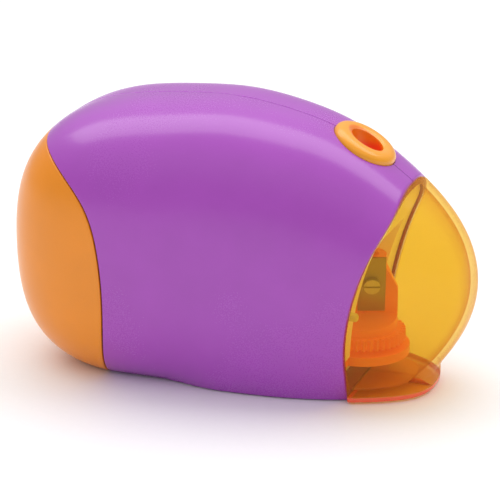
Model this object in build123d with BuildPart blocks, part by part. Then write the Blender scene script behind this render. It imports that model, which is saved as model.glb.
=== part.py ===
"""Battery pencil sharpener, rebuilt as the separate pieces that a bench would find.

Millimetres.  +X points to the shavings bin, +Z is up, and Y = 0 is the plane in which
the two body shells meet.  The origin is on the ground under the middle of the body.
"""
from build123d import *
import os
from math import acos, atan2, cos, hypot, pi, radians, sin, sqrt, tan

os.makedirs("parts", exist_ok=True)

# ---------------------------------------------------------------- driving dimensions
# Outer form: radius of the side profile about its hub, every 360/14 degrees, counted
# from the nose (+X) over the top.
profile_radii = (65.0, 56.3, 49.0, 46.0, 48.0, 56.8, 67.3, 66.0, 62.5, 45.0, 40.0, 43.5, 52.5, 60.5)
hub_height = 32.0
length_factor = 1.0
half_width = 31.5
width_taper = -0.27          # width lost towards the nose, over form_reach
width_flare = 0.08           # width gained upwards, over form_rise
form_reach = 65.0
form_rise = 38.0
side_fullness = 2.95
edge_fullness = 2.7
base_height = 0.4            # the body stands this far off the ground on its feet

wall = 2.2
floor_wall = 2.4
bin_wall = 2.0
seam_gap = 0.1
joint_gap = 0.35             # between the body shells, the cap and the bin
inner_clearance = 0.4        # between the shells and what they hold

# Side-view lines (x, z) where the body ends at the cap and at the bin.
rear_line = ((-36.0, -3.0), (-33.2, 8.0), (-31.3, 22.0), (-31.7, 38.0), (-35.6, 52.0), (-43.6, 60.4),
             (-50.5, 65.0), (-62.0, 70.0))
front_line = ((35.6, -3.0), (34.9, 14.0), (37.3, 30.0), (43.0, 46.0), (46.9, 56.0), (46.9, 61.0),
              (44.0, 72.0))

# Pencil guide and cutter share one upright axis.
cutter_x = 33.5
bore_radius = 4.1
mouth_clearance = 0.2
guide_wall = 1.7
guide_bottom = 44.0
guide_bore_top = 61.0
collar_radius = 9.4
collar_rise = 1.7
collar_depth = 3.4
collar_seat_clearance = 0.25

# Gears.
gear_module = 0.6
pressure_angle = radians(25)
backlash = 0.08
motor_teeth = 12
idler_teeth = 40
idler_pinion_teeth = 16
cutter_teeth = 38
low_gear_z = 4.4
low_gear_face = 3.2
high_gear_z = 12.3
high_gear_face = 3.2
shaft_radius = 1.5
motor_shaft_radius = 1.0
running_clearance = 0.05

# Mechanism frame.
shelf_bottom = 8.5
shelf_thickness = 2.5
frame_wall = 1.4
alcove_radius = 12.6
shelf_nose_radius = 13.2
frame_rear_x = -0.4
frame_half_width = 23.0
bulkhead_setback = 1.0
bulkhead_thickness = 1.6
gear_cover_bottom = 3.0
gear_cover_thickness = 1.0

# Motor.
motor_x = 8.3
motor_radius = 10.0
motor_flat = 7.55
can_length = 20.0
bell_length = 5.0
can_wall = 0.9

# Cells and their tray.
cell_radius = 7.15
cell_length = 50.5
cell_pitch = 16.6
cell_clearance = 0.35
cell_front_x = -6.8
low_cell_z = 17.6
tray_front_x = -1.0
tray_length = 28.6
tray_end_wall = 1.2
tray_wall = 1.4
contact_thickness = 0.4

# Cutter head.
head_radius = 9.6
neck_radius = 6.3
head_height = 12.0
head_top = 37.0
cone_half_angle = radians(11.5)
cone_mouth_radius = 4.2
blade_length = 20.0
blade_width = 7.6
blade_thickness = 0.6

# Fasteners, feet and switches.
screw_radius = 1.05
screw_head_radius = 2.3
screw_head_height = 1.5
boss_radius = 3.3
foot_radius = 3.6
foot_thickness = 1.6
plunger_radius = 1.2

samples = 28                 # points round each section of the form


# ---------------------------------------------------------------- the outer form
def profile_radius(angle):
    """Radius of the side profile: the trigonometric curve through profile_radii."""
    count = len(profile_radii)
    total = 0.0
    for index, radius in enumerate(profile_radii):
        turn = (angle - 2 * pi * index / count) / 2
        if abs(sin(turn)) < 1e-9:
            return radius
        total += radius * sin(count * turn) / (count * tan(turn))
    return total


def fullness(x, y, z, inset):
    """Under 1 inside the form, over 1 outside it, for the form set in by a wall."""
    x = x / length_factor
    rise = z - hub_height
    reach = hypot(x, rise) / (profile_radius(atan2(rise, x)) - inset)
    width = half_width * (1 + width_taper * x / form_reach + width_flare * rise / form_rise) - inset
    return reach**edge_fullness + (abs(y) / width) ** side_fullness


def edge_distance(start, direction, inset):
    """Distance from a point inside the form to its surface, along a direction."""
    near, far = 0.0, 2 * form_reach * length_factor
    for _ in range(40):
        middle = (near + far) / 2
        point = [s + middle * d for s, d in zip(start, direction)]
        if fullness(*point, inset) < 1:
            near = middle
        else:
            far = middle
    return near


def middle_of_profile(axis_value, across, inset):
    """Middle of the form's extent through one station, in the plane of symmetry."""
    if across == "z":
        up = edge_distance((axis_value, 0, hub_height), (0, 0, 1), inset)
        down = edge_distance((axis_value, 0, hub_height), (0, 0, -1), inset)
        return hub_height + (up - down) / 2
    ahead = edge_distance((0, 0, axis_value), (1, 0, 0), inset)
    behind = edge_distance((0, 0, axis_value), (-1, 0, 0), inset)
    return (ahead - behind) / 2


def cross_section(x, inset):
    """Face of the form across its length at one x."""
    centre = middle_of_profile(x, "z", inset)
    points = []
    for index in range(samples):
        angle = 2 * pi * index / samples
        reach = edge_distance((x, 0, centre), (0, cos(angle), sin(angle)), inset)
        points.append((reach * cos(angle), centre + reach * sin(angle)))
    with BuildSketch(Plane.YZ.offset(x)) as section:
        with BuildLine():
            Spline(*points, periodic=True)
        make_face()
    return section.sketch


def plan_section(z, inset):
    """Face of the form cut level at one height."""
    centre = middle_of_profile(z, "x", inset)
    points = []
    for index in range(samples):
        angle = 2 * pi * index / samples
        reach = edge_distance((centre, 0, z), (cos(angle), sin(angle), 0), inset)
        points.append((centre + reach * cos(angle), reach * sin(angle)))
    with BuildSketch(Plane.XY.offset(z)) as section:
        with BuildLine():
            Spline(*points, periodic=True)
        make_face()
    return section.sketch


def long_form(inset):
    """The form as a loft along its length, for the middle of the body."""
    stations = [x * length_factor for x in (-58, -50, -40, -26, -10, 8, 24, 36, 45, 51)]
    with BuildPart() as form:
        loft([cross_section(x, inset) for x in stations])
    return form.part


def level_form(inset):
    """The form as a loft up its height, for the cap and the bin."""
    with BuildPart() as form:
        loft([plan_section(z, inset) for z in (-3, 4, 12, 22, 34, 46, 56, 63, 68)])
    return form.part


def side_zone(line, shift, far_x):
    """Everything between a side-view line, shifted along X, and an upright at far_x."""
    shifted = [(x + shift, z) for x, z in line]
    low, high = shifted[0], shifted[-1]
    with BuildPart() as zone:
        with BuildSketch(Plane.XZ):
            with BuildLine():
                Spline(*shifted)
                Polyline(high, (high[0], 2 * form_rise), (far_x, 2 * form_rise), (far_x, low[1]), low)
            make_face()
        extrude(amount=form_reach, both=True)
    return zone.part


def block(low, high):
    """A box between two corners."""
    size = [b - a for a, b in zip(low, high)]
    middle = [(a + b) / 2 for a, b in zip(low, high)]
    with BuildPart() as made:
        with Locations(tuple(middle)):
            Box(*size)
    return made.part


far = 2 * form_reach * length_factor
above_base = block((-far, -far, base_height), (far, far, far))
above_floor = block((-far, -far, base_height + floor_wall), (far, far, far))
body_skin = long_form(0)
body_core = long_form(wall)
held_core = long_form(wall + inner_clearance)
end_skin = level_form(0)
cap_core = level_form(wall)
bin_core = level_form(bin_wall)

front_zone = side_zone(front_line, joint_gap, far)
rear_zone = side_zone(rear_line, -joint_gap, -far)
past_front = side_zone(front_line, 0, far)
past_rear = side_zone(rear_line, 0, -far)

# The guide's collar sits square to the top of the body, above the cutter axis.
collar_z = hub_height + edge_distance((cutter_x, 0, hub_height), (0, 0, 1), 0)
step = 1.0
ahead_z = hub_height + edge_distance((cutter_x + step, 0, hub_height), (0, 0, 1), 0)
behind_z = hub_height + edge_distance((cutter_x - step, 0, hub_height), (0, 0, 1), 0)
collar_tilt = atan2(behind_z - ahead_z, 2 * step)
collar_normal = (sin(collar_tilt), 0, cos(collar_tilt))
collar_plane = Plane(origin=(cutter_x, 0, collar_z), x_dir=(0, 1, 0), z_dir=collar_normal)

# ---------------------------------------------------------------- body shells
boss_places = ((-34.0, 52.5), (-8.0, 62.0), (17.0, 60.0))
foot_places = ((-19.0, 13.5), (22.0, 11.5))


def body_half(side):
    """One body shell: wall, floor, screw bosses, collar seat and foot recesses."""
    half = block((-far, min(0, side * far), -far), (far, max(0, side * far), far))
    gap = block((-far, -seam_gap / 2, -far), (far, seam_gap / 2, far))
    with BuildPart() as hollow:
        add(body_core)
        add(above_floor, mode=Mode.INTERSECT)
    with BuildPart() as bosses:
        with BuildSketch(Plane.XZ):
            with Locations(*boss_places):
                Circle(boss_radius)
        extrude(amount=form_reach, both=True)
        add(body_skin, mode=Mode.INTERSECT)
    with BuildPart() as shell:
        add(body_skin)
        add(hollow.part, mode=Mode.SUBTRACT)
        add(bosses.part)
        add(above_base, mode=Mode.INTERSECT)
        add(half, mode=Mode.INTERSECT)
        add(gap, mode=Mode.SUBTRACT)
        add(past_front, mode=Mode.SUBTRACT)
        add(past_rear, mode=Mode.SUBTRACT)
        with BuildSketch(collar_plane.offset(-2 * collar_depth)):
            Circle(collar_radius + collar_seat_clearance)
        extrude(amount=4 * collar_depth, mode=Mode.SUBTRACT)
        with BuildSketch(Plane.XY):
            with Locations(*[(x, side * y) for x, y in foot_places]):
                Circle(foot_radius)
        extrude(amount=foot_thickness, mode=Mode.SUBTRACT)
    return shell.part


screw_head_depth = 5.0
screw_length = 16.0


def boss_outer_y(place):
    """Half width of the body at a screw boss."""
    return edge_distance((place[0], 0, place[1]), (0, 1, 0), 0)


with BuildPart() as right_shell:
    add(body_half(-1))
    for place in boss_places:
        with BuildSketch(Plane.XZ) as thread:
            with Locations(place):
                Circle(screw_radius)
        extrude(amount=screw_length - screw_head_depth, mode=Mode.SUBTRACT)
right_shell.part.label = "right_shell"
export_step(right_shell.part, "parts/right_shell.step")

with BuildPart() as left_shell:
    add(body_half(1))
    for place in boss_places:
        seat_y = boss_outer_y(place) - screw_head_depth
        with BuildSketch(Plane.XZ.offset(-seat_y)):
            with Locations(place):
                Circle(screw_head_radius + running_clearance)
        extrude(amount=-form_reach, mode=Mode.SUBTRACT)
        with BuildSketch(Plane.XZ):
            with Locations(place):
                Circle(screw_radius + running_clearance)
        extrude(amount=-form_reach, mode=Mode.SUBTRACT)
left_shell.part.label = "left_shell"
export_step(left_shell.part, "parts/left_shell.step")

with BuildPart() as shell_screws:
    for place in boss_places:
        seat_y = boss_outer_y(place) - screw_head_depth
        with BuildSketch(Plane.XZ.offset(-seat_y)):
            with Locations(place):
                Circle(screw_head_radius)
        extrude(amount=-screw_head_height)
        with BuildSketch(Plane.XZ.offset(-seat_y)):
            with Locations(place):
                Circle(screw_radius)
        extrude(amount=seat_y + screw_length / 2)
        with BuildSketch(Plane.XZ.offset(-seat_y - screw_head_height)):
            with Locations(place):
                Rectangle(2 * screw_radius, screw_radius / 2)
                Rectangle(screw_radius / 2, 2 * screw_radius)
        extrude(amount=screw_head_height / 2, mode=Mode.SUBTRACT)
shell_screws.part.label = "shell_screws"
export_step(shell_screws.part, "parts/shell_screws.step")

with BuildPart() as rubber_feet:
    with BuildSketch(Plane.XY):
        with Locations(*[(x, side * y) for x, y in foot_places for side in (-1, 1)]):
            Circle(foot_radius)
    extrude(amount=foot_thickness)
rubber_feet.part.label = "rubber_feet"
export_step(rubber_feet.part, "parts/rubber_feet.step")

# ---------------------------------------------------------------- battery cap
cell_rows = [low_cell_z, low_cell_z + cell_pitch]
cell_places = [(y, z) for z in cell_rows for y in (-cell_pitch / 2, cell_pitch / 2)]
cells_rear_x = cell_front_x - cell_length
strip_rear_x = cells_rear_x - contact_thickness - running_clearance
carrier_half_width = cell_pitch + 0.5
carrier_low_z = low_cell_z - cell_pitch / 2
carrier_high_z = cell_rows[1] + cell_pitch / 2

with BuildPart() as cap_hollow:
    add(cap_core)
    add(above_floor, mode=Mode.INTERSECT)
    add(block((strip_rear_x - far, -carrier_half_width, carrier_low_z),
              (strip_rear_x, carrier_half_width, carrier_high_z)), mode=Mode.SUBTRACT)

with BuildPart() as battery_cap:
    add(end_skin)
    add(rear_zone, mode=Mode.INTERSECT)
    add(above_base, mode=Mode.INTERSECT)
    add(cap_hollow.part, mode=Mode.SUBTRACT)
battery_cap.part.label = "battery_cap"
export_step(battery_cap.part, "parts/battery_cap.step")

strip_height = 9.0
with BuildPart() as cap_contacts:
    with BuildSketch(Plane.YZ.offset(strip_rear_x)):
        with Locations(*[(0, z) for z in cell_rows]):
            RectangleRounded(2 * cell_pitch - contact_thickness, strip_height, 2)
    extrude(amount=contact_thickness)
cap_contacts.part.label = "cap_contacts"
export_step(cap_contacts.part, "parts/cap_contacts.step")

# ---------------------------------------------------------------- shavings bin
bin_foot_height = 5.2
bin_foot_proud = 0.9
bin_sill_height = 6.6
bin_sill_thickness = 1.8
switch_rib_z = 25.0
switch_rib_height = 3.0
switch_rib_y = -18.5
bin_slot_length = 7.0
bin_slot_height = 2.0

with BuildPart() as bin_foot:
    with BuildSketch(Plane.XY.offset(base_height)):
        lowered = Location((0, 0, base_height - bin_foot_height))
        add(plan_section(bin_foot_height, -bin_foot_proud).moved(lowered))
    extrude(amount=bin_foot_height)
    fillet(bin_foot.faces().sort_by(Axis.Z)[-1].edges(), bin_foot_proud)
    add(front_zone, mode=Mode.INTERSECT)

with BuildPart() as bin_hollow:
    add(bin_core)
    add(above_floor, mode=Mode.INTERSECT)

with BuildPart() as bin_sill:
    add(bin_core)
    add(front_zone, mode=Mode.INTERSECT)
    add(side_zone(front_line, joint_gap + bin_sill_thickness, far), mode=Mode.SUBTRACT)
    add(block((-far, -far, base_height), (far, far, bin_sill_height)), mode=Mode.INTERSECT)

rib_rear_x = 37.8
with BuildPart() as switch_rib:
    add(bin_core)
    add(block((rib_rear_x, -far, switch_rib_z - switch_rib_height / 2),
              (rib_rear_x + 5, switch_rib_y + 2, switch_rib_z + switch_rib_height / 2)),
        mode=Mode.INTERSECT)

with BuildPart() as shavings_bin:
    add(end_skin)
    add(front_zone, mode=Mode.INTERSECT)
    add(above_base, mode=Mode.INTERSECT)
    add(bin_foot.part)
    add(bin_hollow.part, mode=Mode.SUBTRACT)
    add(bin_sill.part)
    add(switch_rib.part)
    with Locations((rib_rear_x + 2.6, 0, base_height + floor_wall + bin_slot_height / 2 + 0.4)):
        Box(bin_slot_length, far, bin_slot_height, mode=Mode.SUBTRACT)
shavings_bin.part.label = "shavings_bin"
export_step(shavings_bin.part, "parts/shavings_bin.step")

# ---------------------------------------------------------------- pencil guide
guide_radius = bore_radius + guide_wall
with BuildPart() as pencil_guide:
    with BuildSketch(collar_plane.offset(-collar_depth)):
        Circle(collar_radius)
    extrude(amount=collar_depth + collar_rise)
    fillet(pencil_guide.faces().sort_by(Axis.Z)[-1].edges(), 1.6)
    with BuildSketch(Plane.XY.offset(guide_bottom)):
        with Locations((cutter_x, 0)):
            Circle(guide_radius)
    extrude(amount=collar_z - collar_depth - guide_bottom)
    with BuildSketch(Plane.XY.offset(guide_bottom)):
        with Locations((cutter_x, 0)):
            Circle(bore_radius)
    extrude(amount=far, mode=Mode.SUBTRACT)
    with BuildSketch(Plane.XY.offset(guide_bore_top)):
        with Locations((cutter_x, 0)):
            Circle(bore_radius + mouth_clearance)
    extrude(amount=far, mode=Mode.SUBTRACT)
pencil_guide.part.label = "pencil_guide"
export_step(pencil_guide.part, "parts/pencil_guide.step")

# ---------------------------------------------------------------- gear places
motor_reach = gear_module * (motor_teeth + idler_teeth) / 2
cutter_reach = gear_module * (idler_pinion_teeth + cutter_teeth) / 2
idler_x = cutter_x - cutter_reach
motor_y = sqrt(motor_reach**2 - (idler_x - motor_x) ** 2)
shelf_top = shelf_bottom + shelf_thickness
motor_direction = atan2(motor_y, motor_x - idler_x)


def gear_outline(teeth, centre, first_tooth):
    """Draw one closed gear outline into the line context, with a tooth at first_tooth."""
    pitch_radius = gear_module * teeth / 2
    base_radius = pitch_radius * cos(pressure_angle)
    tip_radius = pitch_radius + gear_module
    root_radius = pitch_radius - 1.25 * gear_module
    start_radius = max(base_radius, root_radius)
    involute = tan(pressure_angle) - pressure_angle
    half_tooth = pi / (2 * teeth) - backlash / (2 * pitch_radius)

    def flank(radius):
        angle = acos(base_radius / radius)
        return half_tooth + involute - (tan(angle) - angle)

    def place(radius, angle):
        return (centre[0] + radius * cos(angle), centre[1] + radius * sin(angle))

    middle_radius = (start_radius + tip_radius) / 2
    for tooth in range(teeth):
        here = first_tooth + 2 * pi * tooth / teeth
        after = here + 2 * pi / teeth
        start, tip = flank(start_radius), flank(tip_radius)
        rising = ThreePointArc(place(start_radius, here - start),
                               place(middle_radius, here - flank(middle_radius)),
                               place(tip_radius, here - tip))
        ThreePointArc(rising @ 1, place(tip_radius, here), place(tip_radius, here + tip))
        ThreePointArc(place(tip_radius, here + tip), place(middle_radius, here + flank(middle_radius)),
                      place(start_radius, here + start))
        if start_radius > root_radius:
            Line(place(start_radius, here + start), place(root_radius, here + start))
            Line(place(root_radius, after - start), place(start_radius, after - start))
        ThreePointArc(place(root_radius, here + start), place(root_radius, (here + after) / 2),
                      place(root_radius, after - start))


# ---------------------------------------------------------------- gears and shafts
with BuildPart() as motor_pinion:
    with BuildSketch(Plane.XY.offset(low_gear_z)):
        with BuildLine():
            gear_outline(motor_teeth, (motor_x, motor_y), motor_direction + pi + pi / motor_teeth)
        make_face()
        with Locations((motor_x, motor_y)):
            Circle(motor_shaft_radius, mode=Mode.SUBTRACT)
    extrude(amount=low_gear_face)
motor_pinion.part.label = "motor_pinion"
export_step(motor_pinion.part, "parts/motor_pinion.step")

with BuildPart() as idler_gear:
    with BuildSketch(Plane.XY.offset(low_gear_z)):
        with BuildLine():
            gear_outline(idler_teeth, (idler_x, 0), motor_direction)
        make_face()
        with Locations((idler_x, 0)):
            Circle(shaft_radius, mode=Mode.SUBTRACT)
            with PolarLocations(7.0, 5):
                Circle(2.4, mode=Mode.SUBTRACT)
    extrude(amount=low_gear_face)
idler_gear.part.label = "idler_gear"
export_step(idler_gear.part, "parts/idler_gear.step")

with BuildPart() as idler_pinion:
    with BuildSketch(Plane.XY.offset(high_gear_z)):
        with BuildLine():
            gear_outline(idler_pinion_teeth, (idler_x, 0), 0)
        make_face()
        with Locations((idler_x, 0)):
            Circle(shaft_radius, mode=Mode.SUBTRACT)
    extrude(amount=high_gear_face)
idler_pinion.part.label = "idler_pinion"
export_step(idler_pinion.part, "parts/idler_pinion.step")

with BuildPart() as idler_shaft:
    with BuildSketch(Plane.XY.offset(gear_cover_bottom)):
        with Locations((idler_x, 0)):
            Circle(shaft_radius)
    extrude(amount=high_gear_z + high_gear_face + gear_module - gear_cover_bottom)
idler_shaft.part.label = "idler_shaft"
export_step(idler_shaft.part, "parts/idler_shaft.step")

with BuildPart() as cutter_gear:
    with BuildSketch(Plane.XY.offset(high_gear_z)):
        with BuildLine():
            gear_outline(cutter_teeth, (cutter_x, 0), pi + pi / cutter_teeth)
        make_face()
        with Locations((cutter_x, 0)):
            Circle(shaft_radius, mode=Mode.SUBTRACT)
    extrude(amount=high_gear_face)
cutter_gear.part.label = "cutter_gear"
export_step(cutter_gear.part, "parts/cutter_gear.step")

bush_radius = 2.8
bush_flange_radius = 4.2
bush_flange_thickness = 0.8
with BuildPart() as spindle_bush:
    with BuildSketch(Plane.XY.offset(shelf_bottom)):
        with Locations((cutter_x, 0)):
            Circle(bush_radius)
            Circle(shaft_radius + running_clearance, mode=Mode.SUBTRACT)
    extrude(amount=shelf_thickness)
    with BuildSketch(Plane.XY.offset(shelf_top)):
        with Locations((cutter_x, 0)):
            Circle(bush_flange_radius)
            Circle(shaft_radius + running_clearance, mode=Mode.SUBTRACT)
    extrude(amount=bush_flange_thickness)
spindle_bush.part.label = "spindle_bush"
export_step(spindle_bush.part, "parts/spindle_bush.step")

clip_thickness = 0.7
clip_radius = 3.4
spindle_bottom = shelf_bottom - 2 * clip_thickness - 2 * running_clearance
head_bottom = high_gear_z + high_gear_face
with BuildPart() as cutter_spindle:
    with BuildSketch(Plane.XY.offset(spindle_bottom)):
        with Locations((cutter_x, 0)):
            Circle(shaft_radius)
    extrude(amount=head_bottom - spindle_bottom)
cutter_spindle.part.label = "cutter_spindle"
export_step(cutter_spindle.part, "parts/cutter_spindle.step")

with BuildPart() as spindle_clip:
    with BuildSketch(Plane.XY.offset(shelf_bottom - clip_thickness - running_clearance)):
        with Locations((cutter_x, 0)):
            Circle(clip_radius)
            Circle(shaft_radius, mode=Mode.SUBTRACT)
        with Locations((cutter_x + clip_radius, 0)):
            Rectangle(2 * clip_radius, shaft_radius, mode=Mode.SUBTRACT)
    extrude(amount=clip_thickness)
spindle_clip.part.label = "spindle_clip"
export_step(spindle_clip.part, "parts/spindle_clip.step")

# ---------------------------------------------------------------- cutter head and blade
blade_bearing = -70.0        # degrees about the axis, from +X, that the blade faces
blade_middle_z = 27.5
blade_reach = cone_mouth_radius - (head_top - blade_middle_z) * tan(cone_half_angle)
blade_facing = Vector(1, 0, 0).rotate(Axis.Z, blade_bearing)
blade_sideways = Vector(0, 0, 1).cross(blade_facing)
blade_origin = Vector(cutter_x, 0, blade_middle_z) + blade_facing * (blade_reach - 0.5)
blade_normal = (blade_facing * cos(cone_half_angle) - Vector(0, 0, 1) * sin(cone_half_angle))
blade_plane = Plane(origin=blade_origin, x_dir=blade_sideways, z_dir=blade_normal)
blade_shift_x = 2.2

with BuildPart() as cutter_head:
    with BuildSketch(Plane.XZ):
        with BuildLine():
            Polyline((cutter_x, head_bottom), (cutter_x + head_radius, head_bottom),
                     (cutter_x + head_radius, head_bottom + head_height),
                     (cutter_x + neck_radius, head_top - 2.5), (cutter_x + neck_radius, head_top),
                     (cutter_x, head_top), close=True)
        make_face()
    revolve(axis=Axis((cutter_x, 0, 0), (0, 0, 1)))
    with BuildSketch(Plane.XZ):
        with BuildLine():
            Polyline((cutter_x, head_top), (cutter_x + cone_mouth_radius, head_top),
                     (cutter_x + 0.4, head_top - (cone_mouth_radius - 0.4) / tan(cone_half_angle)),
                     (cutter_x, head_top - cone_mouth_radius / tan(cone_half_angle)), close=True)
        make_face()
    revolve(axis=Axis((cutter_x, 0, 0), (0, 0, 1)), mode=Mode.SUBTRACT)
    with BuildSketch(blade_plane):
        with Locations((0, 1.2)):
            Rectangle(2 * head_radius + 2, blade_length - 1.4)
    extrude(amount=head_radius, mode=Mode.SUBTRACT)
cutter_head.part.label = "cutter_head"
export_step(cutter_head.part, "parts/cutter_head.step")

with BuildPart() as cutter_blade:
    with BuildSketch(blade_plane):
        with Locations((blade_shift_x, 1.4)):
            Rectangle(blade_width, blade_length - 3.0)
            Circle(screw_radius + running_clearance, mode=Mode.SUBTRACT)
    extrude(amount=blade_thickness)
cutter_blade.part.label = "cutter_blade"
export_step(cutter_blade.part, "parts/cutter_blade.step")

with BuildPart() as blade_screw:
    with BuildSketch(blade_plane.offset(blade_thickness)):
        with Locations((blade_shift_x, 1.4)):
            Circle(screw_head_radius)
    extrude(amount=screw_head_height)
    with BuildSketch(blade_plane):
        with Locations((blade_shift_x, 1.4)):
            Circle(screw_radius)
    extrude(amount=blade_thickness)
    with BuildSketch(blade_plane.offset(blade_thickness + screw_head_height)):
        with Locations((blade_shift_x, 1.4)):
            Rectangle(2 * screw_head_radius, screw_radius / 2)
    extrude(amount=-screw_head_height / 2, mode=Mode.SUBTRACT)
blade_screw.part.label = "blade_screw"
export_step(blade_screw.part, "parts/blade_screw.step")

# ---------------------------------------------------------------- mechanism frame
alcove_outer = alcove_radius + frame_wall
roof_bottom = guide_bottom + 0.6
roof_thickness = 1.6
roof_top = roof_bottom + roof_thickness
pinion_slot_half_width = 7.0
lever_slot_half_width = 3.4
post_radius = 2.6
post_places = ((24.0, -14.5), (24.0, 14.5), (2.4, -12.0))
pivot_x = 24.2
pivot_z = 41.8
pivot_radius = 1.0
ear_thickness = 1.4
ear_half_gap = 2.8
slot_clearance = 1.6
switch_x = 9.5
switch_length = 9.5
switch_width = 9.0
switch_height = 6.0
switch_bottom = 44.1
button_drop = 0.45
bracket_thickness = 1.4
bracket_z = switch_bottom + switch_height
boss_depth = 1.2
boss_bore = 3.1

with BuildPart() as alcove_space:
    with BuildSketch(Plane.XY.offset(shelf_top)):
        with Locations((cutter_x, 0)):
            Circle(alcove_radius)
        with Locations((cutter_x + alcove_outer, 0)):
            Rectangle(2 * alcove_outer, 2 * alcove_radius)
    extrude(amount=roof_bottom - shelf_top)

with BuildPart() as alcove_block:
    with BuildSketch(Plane.XY.offset(shelf_top)):
        with Locations((cutter_x, 0)):
            Circle(alcove_outer)
        with Locations((cutter_x + alcove_outer / 2, 0)):
            Rectangle(alcove_outer, 2 * alcove_outer)
    extrude(amount=roof_top - shelf_top)

with BuildPart() as bulkhead_plate:
    add(side_zone(front_line, -bulkhead_setback - bulkhead_thickness, far))
    add(block((-far, -far, shelf_top), (far, far, far)), mode=Mode.INTERSECT)

with BuildPart() as bulkhead:
    add(alcove_block.part)
    add(bulkhead_plate.part)
    add(side_zone(front_line, -bulkhead_setback, far), mode=Mode.SUBTRACT)
    add(held_core, mode=Mode.INTERSECT)
    add(alcove_space.part, mode=Mode.SUBTRACT)
    for side in (-1, 1):
        with BuildSketch(Plane.XZ.offset(side * ear_half_gap)):
            with Locations((pivot_x, (pivot_z + roof_bottom) / 2 - pivot_radius)):
                Rectangle(4 * pivot_radius, roof_bottom - pivot_z + 2 * pivot_radius)
        extrude(amount=side * ear_thickness)
    add(block((switch_x, -switch_width / 2, bracket_z),
              (cutter_x - alcove_radius, switch_width / 2, bracket_z + bracket_thickness)))
    add(block((cutter_x - alcove_outer, -switch_width / 2, roof_bottom),
              (cutter_x - alcove_radius, switch_width / 2, bracket_z)))
    with BuildSketch(Plane.XZ):
        with Locations((pivot_x, pivot_z)):
            Circle(pivot_radius)
    extrude(amount=form_reach, both=True, mode=Mode.SUBTRACT)
    pinion_slot_top = high_gear_z + high_gear_face + slot_clearance
    add(block((idler_x, -pinion_slot_half_width, shelf_top),
              (cutter_x - alcove_radius / 2, pinion_slot_half_width, pinion_slot_top)),
        mode=Mode.SUBTRACT)
    add(block((idler_x, -lever_slot_half_width, pivot_z - 2 * pivot_radius),
              (pivot_x - 2 * pivot_radius, lever_slot_half_width, roof_bottom - running_clearance)),
        mode=Mode.SUBTRACT)
    with BuildSketch(Plane.XY.offset(roof_bottom - running_clearance)):
        with Locations((cutter_x, 0)):
            Circle(guide_radius + running_clearance)
    extrude(amount=far, mode=Mode.SUBTRACT)
    with BuildSketch(Plane.YZ):
        with Locations((switch_rib_y, switch_rib_z)):
            Circle(plunger_radius + 2 * running_clearance)
    extrude(amount=form_reach, mode=Mode.SUBTRACT)
bulkhead.part.label = "bulkhead"
export_step(bulkhead.part, "parts/bulkhead.step")

with BuildPart() as gear_deck:
    with BuildSketch(Plane.XY.offset(shelf_bottom)):
        with Locations(((frame_rear_x + cutter_x) / 2, 0)):
            Rectangle(cutter_x - frame_rear_x, 2 * frame_half_width)
        with Locations((cutter_x, 0)):
            Circle(shelf_nose_radius)
    extrude(amount=shelf_thickness)
    add(held_core, mode=Mode.INTERSECT)
    with BuildSketch(Plane.XY.offset(gear_cover_bottom + gear_cover_thickness)):
        with Locations(*post_places):
            Circle(post_radius)
    extrude(amount=shelf_bottom - gear_cover_bottom - gear_cover_thickness)
    with BuildSketch(Plane.XY):
        with Locations((cutter_x, 0)):
            Circle(bush_radius)
        with Locations((idler_x, 0)):
            Circle(shaft_radius + running_clearance)
        with Locations((motor_x, motor_y)):
            Circle(boss_bore)
        with Locations(*post_places):
            Circle(screw_radius)
    extrude(amount=far, mode=Mode.SUBTRACT)
gear_deck.part.label = "gear_deck"
export_step(gear_deck.part, "parts/gear_deck.step")

cover_low_y = -17.5
cover_high_y = 17.5
cover_front_x = 30.0
with BuildPart() as gear_cover:
    add(block((frame_rear_x, cover_low_y, gear_cover_bottom),
              (cover_front_x, cover_high_y, gear_cover_bottom + gear_cover_thickness)))
    add(held_core, mode=Mode.INTERSECT)
    with BuildSketch(Plane.XY):
        with Locations((idler_x, 0)):
            Circle(shaft_radius + running_clearance)
        with Locations(*post_places):
            Circle(screw_radius)
    extrude(amount=shelf_bottom, mode=Mode.SUBTRACT)
gear_cover.part.label = "gear_cover"
export_step(gear_cover.part, "parts/gear_cover.step")

with BuildPart() as frame_screws:
    with BuildSketch(Plane.XY.offset(shelf_top)):
        with Locations(*post_places):
            Circle(screw_head_radius)
    extrude(amount=screw_head_height)
    with BuildSketch(Plane.XY.offset(gear_cover_bottom)):
        with Locations(*post_places):
            Circle(screw_radius)
    extrude(amount=shelf_top - gear_cover_bottom)
    with BuildSketch(Plane.XY.offset(shelf_top + screw_head_height)):
        with Locations(*post_places):
            Rectangle(2 * screw_radius, screw_radius / 2)
            Rectangle(screw_radius / 2, 2 * screw_radius)
    extrude(amount=-screw_head_height / 2, mode=Mode.SUBTRACT)
frame_screws.part.label = "frame_screws"
export_step(frame_screws.part, "parts/frame_screws.step")

# ---------------------------------------------------------------- motor
can_top = shelf_top + can_length
bell_top = can_top + bell_length
motor_place = (motor_x, motor_y)
armature_radius = 6.4
magnet_gap = 0.5


def motor_section(radius):
    """Round can section with two flats facing front and rear."""
    with BuildSketch() as section:
        Circle(radius)
        Rectangle(2 * (motor_flat - motor_radius + radius), 2 * radius, mode=Mode.INTERSECT)
    return section.sketch.moved(Location((motor_x, motor_y, 0)))


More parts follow.
